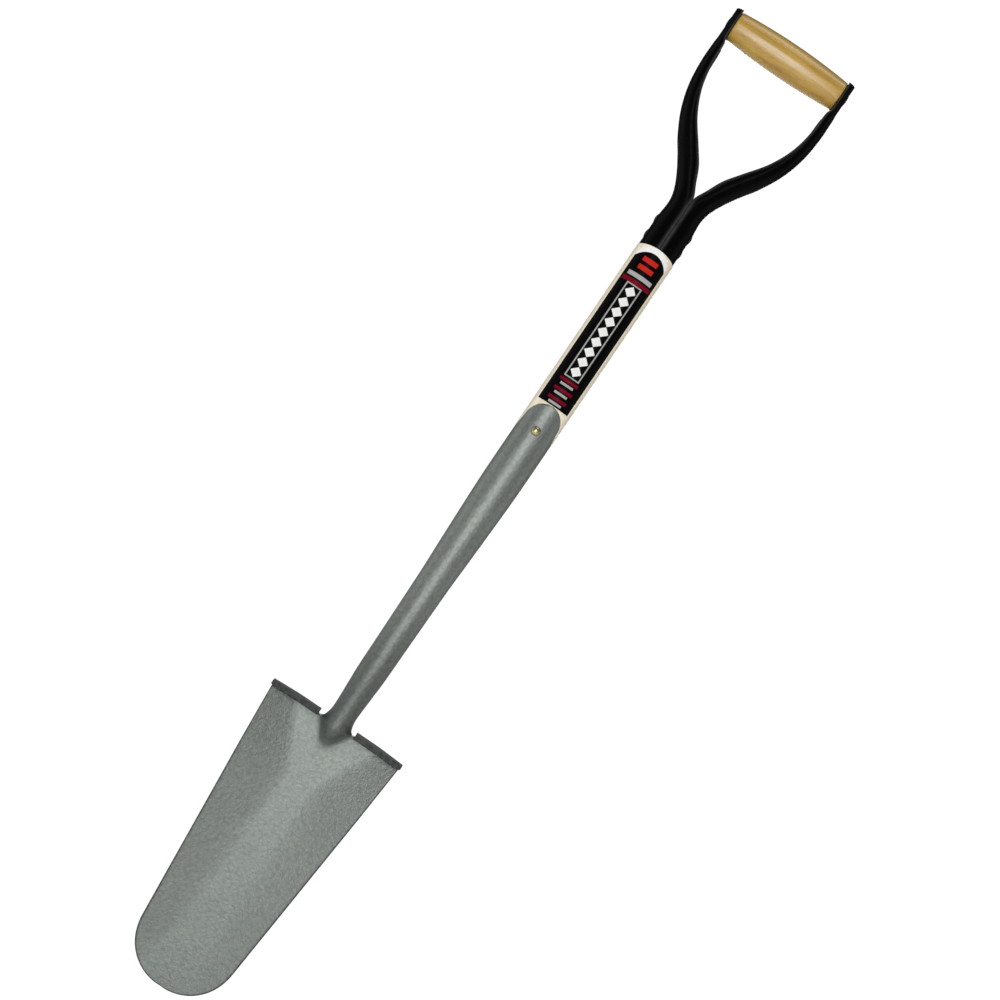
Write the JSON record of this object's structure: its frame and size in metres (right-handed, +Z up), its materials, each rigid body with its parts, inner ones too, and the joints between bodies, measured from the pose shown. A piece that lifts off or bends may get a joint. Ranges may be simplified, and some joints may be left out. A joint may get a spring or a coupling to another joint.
{
  "type": "garden spade",
  "caption": "Narrow drain spade: long tapered dished blade with foot treads, tubular socket, straight ash shaft and a pressed steel D handle with a barrel-shaped wooden grip.",
  "frame": {"origin": "on the shaft's axis, level with the tip of the blade", "axes": "+Z up along the shaft towards the grip, the dished front face of the blade towards -Y, +X to the right of a viewer facing that front"},
  "size_m": [0.1392, 0.0418, 1.0174],
  "materials": {
    "head_paint": "satin",
    "socket_rivet": "satin",
    "shaft_wood": "satin",
    "label": "gloss",
    "handle_paint": "gloss",
    "grip_wood": "gloss",
    "grip_rivet": "satin"
  },
  "bodies": {
    "root": {"head": "head_paint", "left_tread": "head_paint", "right_tread": "head_paint", "socket_rivet": "socket_rivet", "shaft": "shaft_wood", "label": "label", "left_yoke_half": "handle_paint", "right_yoke_half": "handle_paint", "lower_yoke_rivet": "handle_paint", "upper_yoke_rivet": "handle_paint", "grip": "grip_wood", "grip_rivet": "grip_rivet"}
  },
  "joints": []
}
